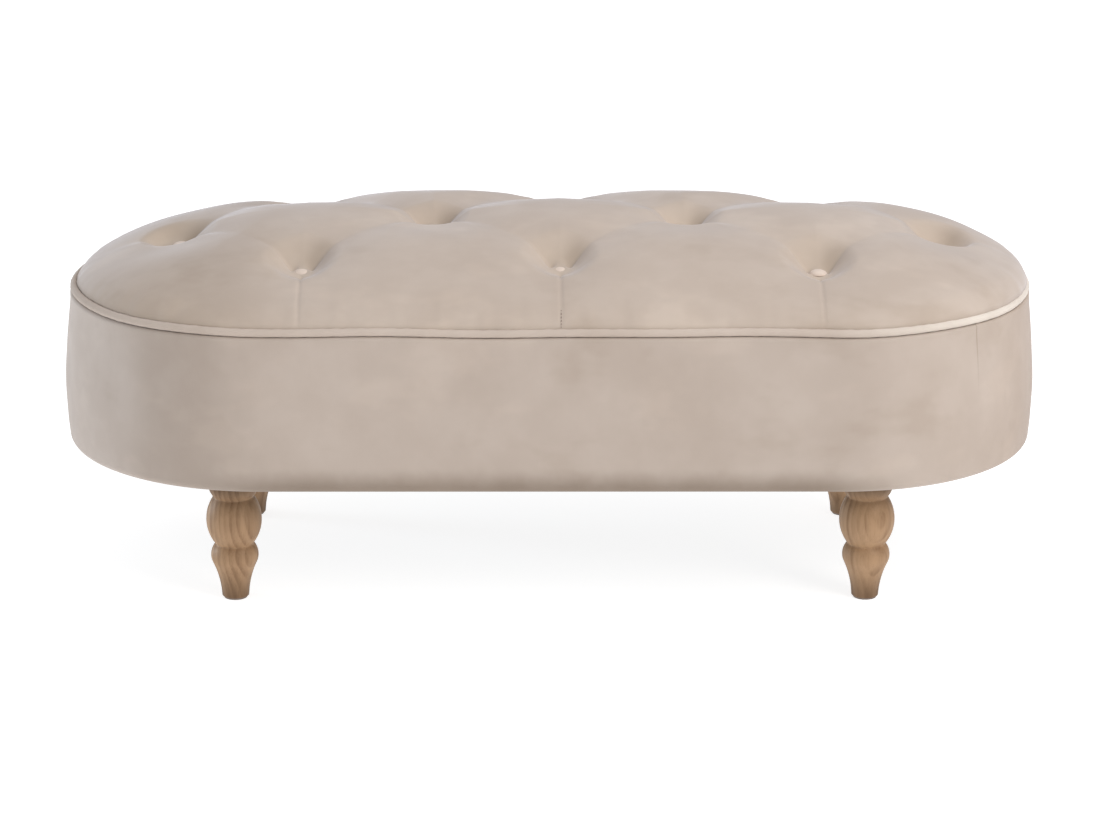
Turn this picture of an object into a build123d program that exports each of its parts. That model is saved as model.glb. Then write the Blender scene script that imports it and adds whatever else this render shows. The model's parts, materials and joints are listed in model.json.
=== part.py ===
"""Oval upholstered footstool on four turned legs.

The frame is +Z up with the origin on the floor under the middle, X along the long side and the
front towards -Y. A plywood box carries a buttoned cushion, a padded border and piping between them.
"""
import os
from math import cos, hypot, pi, radians, sin, sqrt

from build123d import *

# Overall sizes in millimetres
LENGTH = 1100.0
DEPTH = 460.0
END_RADIUS = DEPTH / 2
END_CENTRE = LENGTH / 2 - END_RADIUS

# Cloth, its clearance, and the small gap between curved faces
CLOTH = 1.5
GAP = 0.3

# Turned legs
BODY_BOTTOM = 150.0
DUST_CLOTH = 0.8
LEG_END_INSET = 195.0
LEG_SIDE_INSET = 84.0
PAD_HEIGHT = 2.0
PAD_RADIUS = 13.0
FOOT_RADIUS = 15.2
FOOT_HOLLOW_RADIUS = 18.5
FOOT_HOLLOW_Z = 25.0
FOOT_FLARE_RADIUS = 24.6
FOOT_FLARE_Z = 42.0
BULB_RADIUS = 26.7
BULB_Z = 50.4
NECK_RADIUS = 21.3
NECK_Z = 64.4
BALL_RADIUS = 31.0
BALL_Z = 90.0
COLLAR_NECK_RADIUS = 22.5
COLLAR_NECK_Z = 119.9
COLLAR_SWELL_RADIUS = 26.3
COLLAR_SWELL_Z = 125.7
COLLAR_RADIUS = 28.5
COLLAR_Z = 133.0

# Leg fixings
BOLT_RADIUS = 4.0
BOLT_CLEARANCE = 0.1
BOLT_IN_LEG = 32.0
BOLT_ABOVE_NUT = 4.0
NUT_RADIUS = 5.2
NUT_FLANGE_RADIUS = 11.0
NUT_FLANGE = 1.5
NUT_BARREL = 12.0

# Plywood box
BASE_BOARD = 15.0
DECK = 12.0
RABBET = 2.0
BOARD_INSET = 15.0
RAIL = 20.0
POST_WIDTH = 40.0
POST_DEPTH = 30.0
POST_SPREAD = 60.0
WRAP = 3.0

# Border
BORDER_HEIGHT = 176.0
BORDER_BOTTOM_INSET = 2.0
BORDER_TOP_INSET = 5.0
BULGE_Z = 217.0
HEM_WIDTH = 33.0
DUST_LAP = 15.0

# Piping round the top edge
PIPING_INSET = 4.5
PIPING_RADIUS = 5.0
PIPING_CORD_RADIUS = 3.6
FLANGE_WIDTH = 18.0
FLANGE = 1.7

# Buttoned cushion
CUSHION_INSET = 14.0
CUSHION_RISE = 90.0
ARCH_DROP = 0.15
EDGE_ROLL = 55.0
EDGE_ANGLE = 78.0
MIDDLE_ROW_BUTTONS = 4
TUFT_PITCH = 286.0
TUFT_ROW_INSET = 115.0
TUFT_SHIFT = 10.0
TUFT_SINK = 24.0
FOLD_SINK = 9.0
FOLD_HALF_WIDTH = 8.0
FOLD_BRIDGE = 0.5
TIP_FOLD_SHARE = 0.33
END_FOLD = 90.0
PILLOW_RISE = 10.0
PLEAT_DROP = 2.0
STATIONS_PER_FOLD = 4
END_STATION_ANGLES = (40.0, 50.0, 60.0, 70.0, 78.0, 84.0)

# Covered buttons and their twine
BUTTON_RADIUS = 10.0
BUTTON_DOME = 5.0
BUTTON_EDGE = 2.0
BUTTON_WELL_CLEARANCE = 1.0
WELL_DEPTH = 2.0
SHANK_RADIUS = 3.0
SHANK = 3.0
TWINE_RADIUS = 1.2
TWINE_CLEARANCE = 0.3
WASHER_RADIUS = 13.0
WASHER = 4.0
KNOT_RADIUS = 3.5

# Heights that follow
DECK_TOP = BODY_BOTTOM + BORDER_HEIGHT
BASE_BOTTOM = BODY_BOTTOM + CLOTH
BASE_TOP = BASE_BOTTOM + BASE_BOARD
DECK_BOTTOM = DECK_TOP - DECK
RABBET_FLOOR = DECK_TOP - RABBET
LEG_TOP = BODY_BOTTOM - DUST_CLOTH
BORDER_TOP = RABBET_FLOOR - GAP
PIPING_Z = RABBET_FLOOR + FLANGE + PIPING_RADIUS

# Distances out from the middle line that follow
BOARD_RADIUS = END_RADIUS - BOARD_INSET
WRAP_INSIDE = BOARD_RADIUS + GAP
WRAP_OUTSIDE = WRAP_INSIDE + WRAP
PIPING_OUT = END_RADIUS - PIPING_INSET - PIPING_RADIUS
FLANGE_OUTSIDE = PIPING_OUT + FLANGE
FLANGE_INSIDE = FLANGE_OUTSIDE - FLANGE_WIDTH
CUSHION_RADIUS = END_RADIUS - CUSHION_INSET
LEG_X = LENGTH / 2 - LEG_END_INSET
LEG_Y = DEPTH / 2 - LEG_SIDE_INSET
TUFT_ROW = END_RADIUS - TUFT_ROW_INSET
LAST_TUFT = (MIDDLE_ROW_BUTTONS - 1) * TUFT_PITCH / 2

# Half the distance between the cross rails, which clear the buttons' washers on both sides
CROSS_RAIL_X = 0.75 * TUFT_PITCH

# Centres of the cushion's two arcs: the roll at its edge and the flat crown over the middle
ROLL_OUT = CUSHION_RADIUS - EDGE_ROLL * sin(radians(EDGE_ANGLE))
ROLL_Z = DECK_TOP - EDGE_ROLL * cos(radians(EDGE_ANGLE))
CROWN_Z = DECK_TOP + CUSHION_RISE
RISE_OVER_ROLL = CROWN_Z - ROLL_Z
CROWN = (ROLL_OUT ** 2 + RISE_OVER_ROLL ** 2 - EDGE_ROLL ** 2) / (2 * (RISE_OVER_ROLL - EDGE_ROLL))


def plate(radius, low, high):
    """A flat oval whose edge lies `radius` from the middle line."""
    outline = SlotOverall(2 * (END_CENTRE + radius), 2 * radius)
    return extrude(Pos(0, 0, low) * outline, amount=high - low)


def oval(profile):
    """Carry a half profile, X out from the middle line and Z up, all round the oval."""
    front = Rot(0, 0, -90) * profile
    end = Pos(END_CENTRE, 0, 0) * revolve(front, Axis.Z, 180)
    run = extrude(Pos(-END_CENTRE, 0, 0) * front, amount=2 * END_CENTRE, dir=(1, 0, 0))
    half_turn = Rot(0, 0, 180)
    return end + half_turn * end + run + half_turn * run


def profile(*edges):
    """A half profile on the XZ plane from the edges of its closed outline."""
    return Plane.XZ * make_face(list(edges))


def post(radius, low, high):
    """An upright cylinder on the origin's axis."""
    return extrude(Pos(0, 0, low) * Circle(radius), amount=high - low)


def leg_places():
    """Name and foot point of each leg."""
    return {
        f"{depth}_{side}": (x, y)
        for depth, y in (("front", -LEG_Y), ("rear", LEG_Y))
        for side, x in (("left", -LEG_X), ("right", LEG_X))
    }


def leg():
    """A turned leg: tapered foot, bulb, ball and collar, with the bolt's hole in its top."""
    bottom = PAD_HEIGHT
    outline = make_face([
        Line((0, bottom), (FOOT_RADIUS, bottom)),
        ThreePointArc(
            (FOOT_RADIUS, bottom),
            (FOOT_HOLLOW_RADIUS, FOOT_HOLLOW_Z),
            (FOOT_FLARE_RADIUS, FOOT_FLARE_Z),
        ),
        ThreePointArc((FOOT_FLARE_RADIUS, FOOT_FLARE_Z), (BULB_RADIUS, BULB_Z), (NECK_RADIUS, NECK_Z)),
        ThreePointArc((NECK_RADIUS, NECK_Z), (BALL_RADIUS, BALL_Z), (COLLAR_NECK_RADIUS, COLLAR_NECK_Z)),
        ThreePointArc(
            (COLLAR_NECK_RADIUS, COLLAR_NECK_Z),
            (COLLAR_SWELL_RADIUS, COLLAR_SWELL_Z),
            (COLLAR_RADIUS, COLLAR_Z),
        ),
        Line((COLLAR_RADIUS, COLLAR_Z), (COLLAR_RADIUS, LEG_TOP)),
        Line((COLLAR_RADIUS, LEG_TOP), (0, LEG_TOP)),
        Line((0, LEG_TOP), (0, bottom)),
    ])
    turned = revolve(Plane.XZ * outline, Axis.Z)
    return turned - post(BOLT_RADIUS + BOLT_CLEARANCE, LEG_TOP - BOLT_IN_LEG, LEG_TOP)


def tee_nut():
    """A barrel in the base board under a flange that lies on it."""
    barrel = post(NUT_RADIUS, BASE_TOP - NUT_BARREL, BASE_TOP)
    flange = post(NUT_FLANGE_RADIUS, BASE_TOP, BASE_TOP + NUT_FLANGE)
    bore = post(BOLT_RADIUS + BOLT_CLEARANCE, BASE_BOTTOM, BASE_TOP + NUT_FLANGE)
    return barrel + flange - bore


def at_legs(solid):
    """The same solid over each leg."""
    return [Pos(x, y, 0) * solid for x, y in leg_places().values()]


def base_board():
    """The bottom board, bored for the tee nuts."""
    board = plate(BOARD_RADIUS, BASE_BOTTOM, BASE_TOP)
    return board - at_legs(post(NUT_RADIUS + BOLT_CLEARANCE, BASE_BOTTOM, BASE_TOP))


def dust_cover():
    """The thin cloth under the box, lapped over the hem, with a hole for each bolt."""
    sheet = plate(END_RADIUS - BORDER_BOTTOM_INSET - HEM_WIDTH + DUST_LAP, LEG_TOP, BODY_BOTTOM)
    return sheet - at_legs(post(BOLT_RADIUS + GAP, LEG_TOP, BODY_BOTTOM))


def side_rail(side):
    """A long board on edge between the base board and the deck; side is -1 in front, 1 behind."""
    height = DECK_BOTTOM - BASE_TOP
    centre = (0, side * (BOARD_RADIUS - RAIL / 2), BASE_TOP + height / 2)
    return Pos(*centre) * Box(2 * END_CENTRE, RAIL, height)


def cross_rail(x):
    """A short board on edge from rail to rail."""
    height = DECK_BOTTOM - BASE_TOP
    return Pos(x, 0, BASE_TOP + height / 2) * Box(RAIL, 2 * (BOARD_RADIUS - RAIL), height)


def end_post(angle):
    """A short upright at the right end, its outer face rounded to the boards' edge."""
    height = DECK_BOTTOM - BASE_TOP
    block = Pos(BOARD_RADIUS - POST_DEPTH / 2, 0, BASE_TOP + height / 2) * Box(
        POST_DEPTH, POST_WIDTH, height
    )
    rounded = block & post(BOARD_RADIUS, BASE_TOP, DECK_BOTTOM)
    return Pos(END_CENTRE, 0, 0) * Rot(0, 0, angle) * rounded


def seat_deck():
    """The top board, stepped for the piping's flange and drilled for the twine."""
    board = plate(BOARD_RADIUS, DECK_BOTTOM, RABBET_FLOOR)
    board += plate(FLANGE_INSIDE - GAP, RABBET_FLOOR, DECK_TOP)
    return board - at_buttons(lambda seat: post(SHANK_RADIUS, DECK_BOTTOM, DECK_TOP))


def side_wrap():
    """The thin bent board round the box."""
    return plate(WRAP_OUTSIDE, BASE_BOTTOM, RABBET_FLOOR) - plate(WRAP_INSIDE, BASE_BOTTOM, RABBET_FLOOR)


def border_arc(inset, low, high):
    """The border's bulged wall, drawn in at the bottom and under the piping."""
    return ThreePointArc(
        (END_RADIUS - BORDER_BOTTOM_INSET - inset, low),
        (END_RADIUS - inset, BULGE_Z),
        (END_RADIUS - BORDER_TOP_INSET - inset, high),
    )


def side_cover():
    """The border's velvet, turned in under the piping and hemmed under the base board."""
    outer = border_arc(0, BODY_BOTTOM, BORDER_TOP)
    inner = border_arc(CLOTH, BASE_BOTTOM, BORDER_TOP - CLOTH)
    hem_in = END_RADIUS - BORDER_BOTTOM_INSET - HEM_WIDTH
    lip_in = WRAP_OUTSIDE + GAP
    top = Polyline(outer @ 1, (lip_in, BORDER_TOP), (lip_in, BORDER_TOP - CLOTH), inner @ 1)
    hem = Polyline(inner @ 0, (hem_in, BASE_BOTTOM), (hem_in, BODY_BOTTOM), outer @ 0)
    return oval(profile(*outer.edges(), *top.edges(), *inner.edges(), *hem.edges()))


def side_padding():
    """The border's foam between the wrap and the velvet."""
    low = BASE_BOTTOM + GAP
    high = BORDER_TOP - CLOTH - GAP
    inside = WRAP_OUTSIDE + GAP
    outer = border_arc(CLOTH + GAP, low, high)
    back = Polyline(outer @ 1, (inside, high), (inside, low), outer @ 0)
    return oval(profile(*outer.edges(), *back.edges()))


def piping_cord():
    """The cord inside the piping."""
    return oval(Plane.XZ * Pos(PIPING_OUT, PIPING_Z) * Circle(PIPING_CORD_RADIUS))


def piping_cover():
    """The velvet rolled round the cord, with the flange that is stapled to the deck."""
    tube = Pos(PIPING_OUT, PIPING_Z) * Circle(PIPING_RADIUS)
    neck = Pos(PIPING_OUT, RABBET_FLOOR + FLANGE) * Rectangle(2 * FLANGE, 2 * FLANGE)
    flange_middle = (FLANGE_INSIDE + FLANGE_OUTSIDE) / 2
    flange = Pos(flange_middle, RABBET_FLOOR + FLANGE / 2) * Rectangle(FLANGE_WIDTH, FLANGE)
    bore = Pos(PIPING_OUT, PIPING_Z) * Circle(PIPING_CORD_RADIUS + GAP / 2)
    return oval(Plane.XZ * (tube + neck + flange - bore))


def out_from_middle(x, y):
    """Distance from the middle line, which ends at the two end centres."""
    return hypot(max(abs(x) - END_CENTRE, 0.0), y)


def crown_height(x, y, inset):
    """Height of the plain crown, `inset` inside the cushion.

    A cut across it is a roll at the edge and a flat arc between; its rise falls off towards the ends.
    """
    out = out_from_middle(x, y)
    touch = ROLL_OUT * CROWN / (CROWN - EDGE_ROLL)
    if out <= touch * (CROWN - inset) / CROWN:
        height = CROWN_Z - CROWN + sqrt((CROWN - inset) ** 2 - out ** 2)
    else:
        height = ROLL_Z + sqrt(max((EDGE_ROLL - inset) ** 2 - (out - ROLL_OUT) ** 2, 0.0))
    arch = 1 - ARCH_DROP * (2 * x / LENGTH) ** 2
    return DECK_TOP + (height - DECK_TOP) * arch


def cushion_edge(inset):
    """How far out the inset crown meets the deck."""
    return ROLL_OUT + sqrt((EDGE_ROLL - inset) ** 2 - (DECK_TOP - ROLL_Z) ** 2)


def tuft_phase(x):
    """1 across the outer rows' buttons, 0 across the middle row's, and 0 beyond the last button."""
    along = x - TUFT_SHIFT
    if abs(along) >= LAST_TUFT:
        return 0.0
    return 2 * abs((along / TUFT_PITCH) % 1.0 - 0.5)


def fold_depth(x):
    """Depth of the folds under the crown: full at a button, shallow halfway, gone at the ends."""
    beyond = abs(x - TUFT_SHIFT) - LAST_TUFT
    if beyond > 0:
        return TUFT_SINK * max(1 - beyond / END_FOLD, 0.0) ** 2
    return FOLD_SINK + (TUFT_SINK - FOLD_SINK) * (2 * tuft_phase(x) - 1) ** 2


def cushion_section(x, inset):
    """A cut across the cushion: flat below, with three crowned arcs that meet in the two folds."""
    edge = cushion_edge(inset)
    half_width = sqrt(edge ** 2 - max(abs(x) - END_CENTRE, 0.0) ** 2)
    phase = tuft_phase(x)
    fold_start = min(FOLD_HALF_WIDTH, TIP_FOLD_SHARE * half_width)
    fold_y = fold_start + (TUFT_ROW - FOLD_HALF_WIDTH) * phase
    fold_z = crown_height(x, fold_y, inset) - fold_depth(x)
    bridge_z = fold_z + FOLD_BRIDGE
    crown_z = crown_height(x, 0, inset)
    middle_z = bridge_z + (crown_z - bridge_z) * sin(phase * pi / 2)
    swell_y = (half_width + fold_y) / 2
    swell = (PILLOW_RISE * (1 - phase) - PLEAT_DROP * phase) * (half_width / edge) ** 2
    swell_z = crown_height(x, swell_y, inset) + swell
    rear = ThreePointArc((half_width, DECK_TOP), (swell_y, swell_z), (fold_y, fold_z))
    middle = ThreePointArc((fold_y, fold_z), (0, middle_z), (-fold_y, fold_z))
    front = ThreePointArc((-fold_y, fold_z), (-swell_y, swell_z), (-half_width, DECK_TOP))
    floor = Line((-half_width, DECK_TOP), (half_width, DECK_TOP))
    return Plane.YZ.offset(x) * make_face([floor, rear, middle, front])


def cushion_stations(inset):
    """Places of the cuts: even between the end buttons, then closer towards each tip."""
    spans = 2 * (MIDDLE_ROW_BUTTONS - 1) * STATIONS_PER_FOLD
    even = [TUFT_SHIFT + LAST_TUFT * (2 * step / spans - 1) for step in range(spans + 1)]
    edge = cushion_edge(inset)
    ends = [END_CENTRE + edge * sin(radians(angle)) for angle in END_STATION_ANGLES]
    return [-x for x in reversed(ends)] + even + ends


def cushion_form(inset):
    """The buttoned cushion as one solid, with a well for each button, `inset` inside its velvet."""
    form = loft([cushion_section(x, inset) for x in cushion_stations(inset)])
    well = BUTTON_RADIUS + BUTTON_WELL_CLEARANCE + inset
    return form - at_buttons(lambda seat: post(well, seat - inset, CROWN_Z))


def button_places():
    """Name, middle and seat height of each button, in three staggered rows."""
    sides = ("left", "middle", "right")
    places = {}
    for row, y in (("front", -TUFT_ROW), ("rear", TUFT_ROW)):
        for column, side in enumerate(sides):
            places[f"{row}_{side}"] = (TUFT_SHIFT + (column - 1) * TUFT_PITCH, y)
    for column in range(MIDDLE_ROW_BUTTONS):
        places[f"centre_{column + 1}"] = (TUFT_SHIFT + column * TUFT_PITCH - LAST_TUFT, 0.0)
    return {
        name: (x, y, crown_height(x, y, 0) - TUFT_SINK - WELL_DEPTH)
        for name, (x, y) in places.items()
    }


def at_buttons(make):
    """What make(seat height) gives, over each button's place."""
    return [Pos(x, y, 0) * make(seat) for x, y, seat in button_places().values()]


def seat_foam():
    """The cushion's filling, with a channel for each twine."""
    return cushion_form(CLOTH + GAP) - at_buttons(lambda seat: post(SHANK_RADIUS + GAP, DECK_TOP, CROWN_Z))


def seat_cover():
    """The cushion's velvet, pierced under each button."""
    shell = cushion_form(0) - cushion_form(CLOTH)
    return shell - at_buttons(lambda seat: post(SHANK_RADIUS + GAP, DECK_TOP, CROWN_Z))


def button(seat):
    """A velvet covered button: a ball's cap with a rolled edge, and a shank below."""
    rim = BUTTON_RADIUS - BUTTON_EDGE / 4
    cap_rise = BUTTON_DOME - BUTTON_EDGE
    ball = (rim ** 2 + cap_rise ** 2) / (2 * cap_rise)
    top = seat + BUTTON_DOME
    outline = make_face([
        Line((0, seat - SHANK), (SHANK_RADIUS, seat - SHANK)),
        Line((SHANK_RADIUS, seat - SHANK), (SHANK_RADIUS, seat)),
        Line((SHANK_RADIUS, seat), (BUTTON_RADIUS - BUTTON_EDGE / 2, seat)),
        ThreePointArc(
            (BUTTON_RADIUS - BUTTON_EDGE / 2, seat),
            (BUTTON_RADIUS, seat + BUTTON_EDGE / 2),
            (rim, seat + BUTTON_EDGE),
        ),
        ThreePointArc(
            (rim, seat + BUTTON_EDGE),
            (rim / 2, top - ball + sqrt(ball ** 2 - (rim / 2) ** 2)),
            (0, top),
        ),
        Line((0, top), (0, seat - SHANK)),
    ])
    return revolve(Plane.XZ * outline, Axis.Z)


def twine(seat):
    """A button's twine, from its shank to the knot under the washer."""
    knot_top = DECK_BOTTOM - WASHER
    line = post(TWINE_RADIUS, knot_top - KNOT_RADIUS, seat - SHANK)
    return line + Pos(0, 0, knot_top - KNOT_RADIUS) * Sphere(KNOT_RADIUS)


def washer(seat):
    """The round washer that holds a twine under the deck."""
    disc = post(WASHER_RADIUS, DECK_BOTTOM - WASHER, DECK_BOTTOM)
    return disc - post(TWINE_RADIUS + TWINE_CLEARANCE, DECK_BOTTOM - WASHER, DECK_BOTTOM)


def build():
    """Every piece of the stool under its node's name."""
    bolt_top = BASE_TOP + NUT_FLANGE + BOLT_ABOVE_NUT
    nodes = {
        "base_board": base_board(),
        "dust_cover": dust_cover(),
        "front_rail": side_rail(-1),
        "rear_rail": side_rail(1),
        "left_cross_rail": cross_rail(TUFT_SHIFT - CROSS_RAIL_X),
        "right_cross_rail": cross_rail(TUFT_SHIFT + CROSS_RAIL_X),
        "seat_deck": seat_deck(),
        "side_wrap": side_wrap(),
        "side_padding": side_padding(),
        "side_cover": side_cover(),
        "piping_cord": piping_cord(),
        "piping_cover": piping_cover(),
        "seat_foam": seat_foam(),
        "seat_cover": seat_cover(),
        "button_twines": Compound(children=at_buttons(twine)),
        "twine_washers": Compound(children=at_buttons(washer)),
        "hanger_bolts": Compound(children=at_legs(post(BOLT_RADIUS, LEG_TOP - BOLT_IN_LEG, bolt_top))),
        "tee_nuts": Compound(children=at_legs(tee_nut())),
        "foot_pads": Compound(children=at_legs(post(PAD_RADIUS, 0, PAD_HEIGHT))),
    }
    for side, turn in (("right", 0), ("left", 180)):
        for place, angle in (("front", -POST_SPREAD), ("end", 0), ("rear", POST_SPREAD)):
            nodes[f"{side}_{place}_post"] = Rot(0, 0, turn) * end_post(angle if turn == 0 else -angle)
    for name, (x, y) in leg_places().items():
        nodes[f"leg_{name}"] = Pos(x, y, 0) * leg()
    for name, (x, y, seat) in button_places().items():
        nodes[f"button_{name}"] = Pos(x, y, 0) * button(seat)
    return nodes


os.makedirs("parts", exist_ok=True)
for node, shape in build().items():
    shape.label = node
    export_step(shape, f"parts/{node}.step")
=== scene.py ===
"""Looks of an oval buttoned footstool: velvet cushion, piping, padded border and turned wooden legs."""
import json
import math
from typing import NamedTuple

import bmesh
import bpy
import numpy as np
from mathutils import Matrix, Vector
from mathutils.kdtree import KDTree


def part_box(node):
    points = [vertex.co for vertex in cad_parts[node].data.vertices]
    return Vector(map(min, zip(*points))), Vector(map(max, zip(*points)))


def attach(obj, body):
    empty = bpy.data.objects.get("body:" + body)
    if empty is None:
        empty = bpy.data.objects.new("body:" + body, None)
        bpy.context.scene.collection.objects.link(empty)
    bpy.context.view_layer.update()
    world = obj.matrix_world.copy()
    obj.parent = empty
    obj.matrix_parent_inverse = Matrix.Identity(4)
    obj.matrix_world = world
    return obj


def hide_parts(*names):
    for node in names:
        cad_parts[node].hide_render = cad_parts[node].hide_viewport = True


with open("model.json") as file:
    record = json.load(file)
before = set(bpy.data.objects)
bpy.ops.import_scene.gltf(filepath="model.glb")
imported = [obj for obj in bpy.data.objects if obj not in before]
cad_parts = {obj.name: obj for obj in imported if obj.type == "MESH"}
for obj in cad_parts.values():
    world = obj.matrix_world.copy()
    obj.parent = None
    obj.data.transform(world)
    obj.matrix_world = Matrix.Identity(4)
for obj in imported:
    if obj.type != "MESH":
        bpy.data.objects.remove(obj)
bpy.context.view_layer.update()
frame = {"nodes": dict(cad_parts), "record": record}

bl_info = {
    "name": "Buttoned oval footstool",
    "version": (1, 0, 0),
    "blender": (4, 5, 0),
    "location": "View3D > Sidebar > Footstool",
    "description": "Dresses the packed footstool in velvet and turned wood",
    "category": "Add Mesh",
}

BODY = "root"

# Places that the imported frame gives
BORDER_LOW, BORDER_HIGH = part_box("side_cover")
SEAT_LOW, SEAT_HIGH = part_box("seat_cover")
PIPING_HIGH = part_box("piping_cover")[1]
HALF_DEPTH = BORDER_HIGH.y
END_CENTRE = BORDER_HIGH.x - HALF_DEPTH
SEAT_EDGE = SEAT_HIGH.y
LEG_NODES = sorted(name for name in frame["nodes"] if name.startswith("leg_"))
BUTTON_NODES = sorted(
    name for name in frame["nodes"] if name.startswith("button_") and name != "button_twines"
)


def middle_of(node):
    """The middle of a node's box."""
    low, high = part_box(node)
    return (low + high) / 2


BUTTON_PLACES = {name: middle_of(name) for name in BUTTON_NODES}

# Half the distance between two rows of buttons, and how far the buttons lie to one side in all
HALF_ROW = max(place.y for place in BUTTON_PLACES.values()) / 2
TUFT_SHIFT = sum(place.x for place in BUTTON_PLACES.values()) / len(BUTTON_PLACES)

# How much deeper than the others these buttons sit in the velvet
SUNKEN_BUTTONS = {"button_front_left": 0.0022, "button_front_middle": 0.0031}


class Groove(NamedTuple):
    """A fold of the velvet: depth at its button, length over which that fades, and its section's shape."""

    depth: float
    fade: float
    round_off: float
    width: float

    def fading(self, along):
        """Depth at a distance from the button, falling off exponentially."""
        return self.depth * np.exp(-along / self.fade)

    def section(self, across, opening=0.0):
        """Share of the depth at a distance from the fold's line: steep beside it, fading over the width."""
        round_off = self.round_off + opening
        return np.exp(-(np.sqrt(across ** 2 + round_off ** 2) - round_off) / self.width)


# Soft folds, laid before the filling presses on the velvet
SOFT_FOLD = Groove(depth=0.008, fade=0.035, round_off=0.003, width=0.014)
SOFT_PLEAT = Groove(depth=0.006, fade=0.022, round_off=0.002, width=0.014)
END_FOLD = Groove(depth=0.010, fade=0.028, round_off=0.002, width=0.016)

# Sharp ones in the settled velvet, and where they begin and are full, from a button's middle
SHARP_FOLD = Groove(depth=0.0075, fade=0.022, round_off=0.0006, width=0.0045)
SHARP_PLEAT = Groove(depth=0.003, fade=0.015, round_off=0.0002, width=0.0016)
CREASE_BEGINS, CREASE_FULL = 0.006, 0.014

# A soft fold opens by this much at this distance from its button
FOLD_OPENING, FOLD_OPEN_AT = 0.016, 0.07

# A tuft: radius that is at full depth, length of its tail, and the bowl's share in it
TUFT_CORE, TUFT_TAIL, BOWL_SHARE = 0.008, 0.045, 0.75

# The hollow between an outer button and the piping: half width, and where it begins and runs out
HOLLOW_WIDE, HOLLOW_BEGINS, HOLLOW_ENDS = 0.045, (-0.001, 0.012), (0.01, 0.095)

# The dip in front of a button: half width, half length and how far ahead it lies
DIP_WIDE, DIP_LONG, DIP_AHEAD = 0.055, 0.038, 0.045

# Distance from the folds at which a front and a rear pillow is full, and the share lost at the ends
FRONT_REACH, REAR_REACH, END_LOSS = 0.075, 0.050, 0.6

# Stretches over which the cushion changes, from the front to the rear for its pillows and their swell
REAR_PILLOWS, REAR_SWELL = (0.03, 0.10), (-0.02, 0.09)

# From the middle to the ends, for its pillows, its shoulders and its left tip
PILLOW_ENDS, SHOULDER_ENDS, LEFT_TIP = (0.18, 0.42), (0.36, 0.48), (0.45, 0.53)

# From the edge inwards, for its pillows, its folds, its creases, and its shoulders' foot and top
PILLOW_EDGE, FOLD_EDGE, CREASE_EDGE = (0.0, 0.06), (-0.004, 0.03), (0.0, 0.006)
SHOULDER_FOOT, SHOULDER_TOP = (0.0, 0.02), (0.06, 0.14)

# From the deck upwards, for the foot and the top of the bulge in its side
BULGE_FOOT, BULGE_TOP = (0.0, 0.012), (0.018, 0.070)

# Half length and half width of the painted shade beside a button, on its side away from the key light
BUTTON_SHADE_LONG, BUTTON_SHADE_WIDE = 0.022, 0.013

# How far to the left of a button its painted highlight is centred, and where that begins and runs out
HIGHLIGHT_LEFT, HIGHLIGHT_ENDS = 0.008, (0.012, 0.060)

# Cushion's points from the middle line to the edge, and its frames of cloth simulation
SEAT_STEPS = 81
SWELL_FRAMES = 20

# Where the velvet is held, full to free: inwards from its edge, and outwards from a button's middle
SEAM_HOLD, BUTTON_HOLD = (0.006, 0.012), (0.011, 0.017)

# How far the velvet puckers at the piping, where that runs out, and the bulge's share lost at the left tip
PUCKER, PUCKER_ENDS, TIP_LACK = 0.0004, (0.008, 0.05), 0.25

# Stitches of the middle pleat: lowest and highest point over the deck, length, dip and thread radius
STITCH_LOW, STITCH_HIGH, STITCH_LONG, STITCH_DIP, THREAD = 0.0110, 0.0270, 0.0032, 0.0007, 0.0005

# A covered button: heights of its dome and of the skirt under it, and the number and depth of its gathers
DOME, SKIRT, GATHERS, GATHER_DEPTH = 0.0048, 0.0022, 11, 0.012

# The piping: its radius as a share of the solid's, and how far that ripples
PIPING_TIGHT, PIPING_RIPPLE = 0.94, 0.00022

# The border's velvet: its thickness, its turn at the lip, and how far lip and hem lie inside the border
CLOTH, LIP_TURN, LIP_INSET = 0.0015, 0.002, 0.012
HEM_INSETS = (0.040, 0.030)

# Height of the painted shade along the border's hem, how far the border waves, and its seam's direction from
# the end centre
HEM_SHADE, SLACK, SEAM_TURN = 0.037, 0.0005, -0.86

# Points of a leg's outline between its named turns, as radius and height over the floor
FOOT_HOLLOW = (0.0185, 0.025)
BULB_START = (0.0246, 0.042)
COLLAR_NECK = (0.0225, 0.1199)
COLLAR_SWELL = (0.0263, 0.1257)

# Eased edge of the foot, as steps out from its radius and up from its sole
SOLE_INSET = 0.002
FOOT_EDGE = ((-0.0012, 0.0), (-0.0002, 0.0006), (0.0, 0.0016))

# A leg's timber: distance, lean and turn of the tree's heart, rings to the metre and how far they wander
HEART_AWAY, HEART_LEAN, HEART_TURN, RINGS, RING_WANDER = 0.11, 0.10, -0.55, 140.0, 0.020

# Heights over which a leg's darker foot runs out and the painted shade on its collar under the seat begins
DARK_FOOT, COLLAR_SHADE = (0.0, 0.042), (0.108, 0.140)

# Tints that multiply the colour of the velvet or the wood
RUBBED_TINT = (0.92, 0.905, 0.885)
RAISED_TINT = (1.07, 1.07, 1.065)
# Painted shade along the border's hem
HEM_SHADE_TINT = (0.58, 0.55, 0.51)
SEAM_TINT = (0.80, 0.78, 0.75)
# Painted highlight in a button's funnel
TUFT_HIGHLIGHT_TINT = (1.13, 1.09, 0.98)
# Painted shade beside a button
BUTTON_SHADE_TINT = (0.66, 0.635, 0.60)
FOOT_TINT = (0.52, 0.49, 0.45)
# Painted shade on a leg's collar under the seat
COLLAR_SHADE_TINT = (0.46, 0.44, 0.42)

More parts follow.
